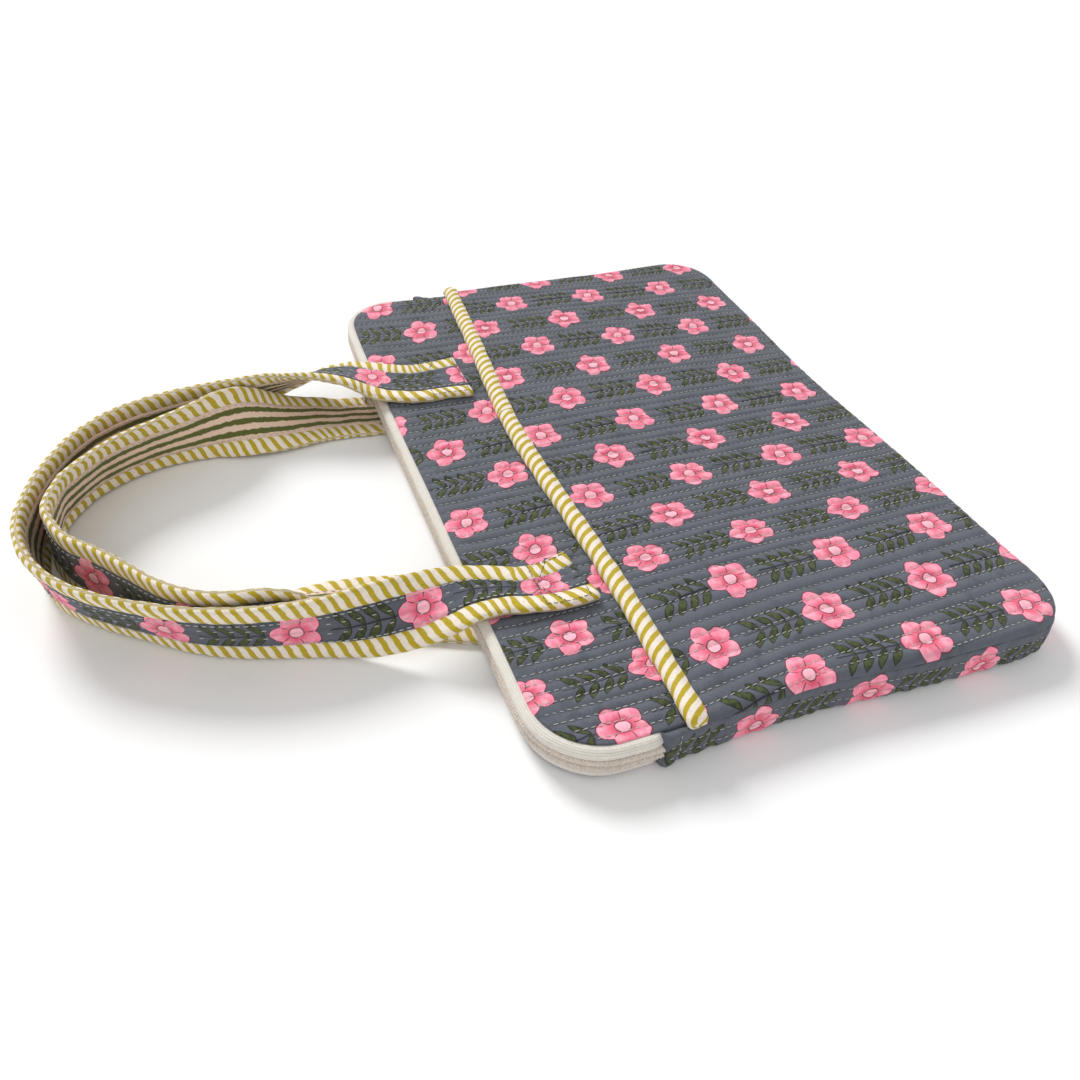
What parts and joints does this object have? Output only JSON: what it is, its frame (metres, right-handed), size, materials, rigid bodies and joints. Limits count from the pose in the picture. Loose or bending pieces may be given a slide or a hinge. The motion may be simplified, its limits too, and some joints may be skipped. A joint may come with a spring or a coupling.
{
  "type": "knitting bag",
  "caption": "Flat quilted cotton knitting bag with a zipped main compartment, a slip pocket with a striped roll edge and two loop handles.",
  "frame": {"origin": "middle of the back panel's outer face, the face the bag lies on", "axes": "+X along the bag's width, +Y towards the zip and handles, +Z out of the front panel"},
  "size_m": [0.381, 0.4438, 0.0384],
  "materials": {
    "quilted_print": "matte block-printed cotton, quilted",
    "lining": "plain cotton",
    "striped_lining": "striped cotton",
    "striped_binding": "diagonally striped bias cotton",
    "zip_tape": "woven tape",
    "zip_coil": "moulded coil",
    "zip_metal": "nickel plated"
  },
  "bodies": {
    "bag": {"back_panel": "quilted_print", "back_lining": "lining", "front_panel": "quilted_print", "front_lining": "lining", "front_pocket": "quilted_print", "pocket_lining": "lining", "pocket_binding": "striped_binding", "gusset": "quilted_print", "gusset_lining": "lining", "zip_tape_front": "zip_tape", "zip_tape_back": "zip_tape", "zip_coil_front": "zip_coil", "zip_coil_back": "zip_coil", "front_handle_tab_near": "quilted_print", "front_handle_tab_far": "quilted_print", "back_handle_tab_near": "quilted_print", "back_handle_tab_far": "quilted_print"},
    "slider": {"zip_slider": "zip_metal"},
    "pull": {"zip_pull": "zip_metal"},
    "front_handle": {"front_handle_strap": "quilted_print", "front_handle_lining": "striped_lining", "front_handle_binding_inner": "striped_binding", "front_handle_binding_outer": "striped_binding"},
    "back_handle": {"back_handle_strap": "quilted_print", "back_handle_lining": "striped_lining", "back_handle_binding_inner": "striped_binding", "back_handle_binding_outer": "striped_binding"}
  },
  "joints": [
    {"name": "zip_slide", "type": "slide", "parent": "bag", "child": "slider", "axis": [-1, 0, 0], "range_m": [-0.03, 0.25]},
    {"name": "pull_swing", "type": "hinge", "parent": "slider", "child": "pull", "pos_m": [0.114, 0.1362, 0.01], "axis": [0, 0, 1], "range_deg": [-170, 0]},
    {"name": "front_handle_swing", "type": "hinge", "parent": "bag", "child": "front_handle", "pos_m": [0, 0.109, 0.0236], "axis": [1, 0, 0], "range_deg": [0, 150]},
    {"name": "back_handle_swing", "type": "hinge", "parent": "bag", "child": "back_handle", "pos_m": [0, 0.109, -0.0003], "axis": [1, 0, 0], "range_deg": [-150, 0]}
  ]
}
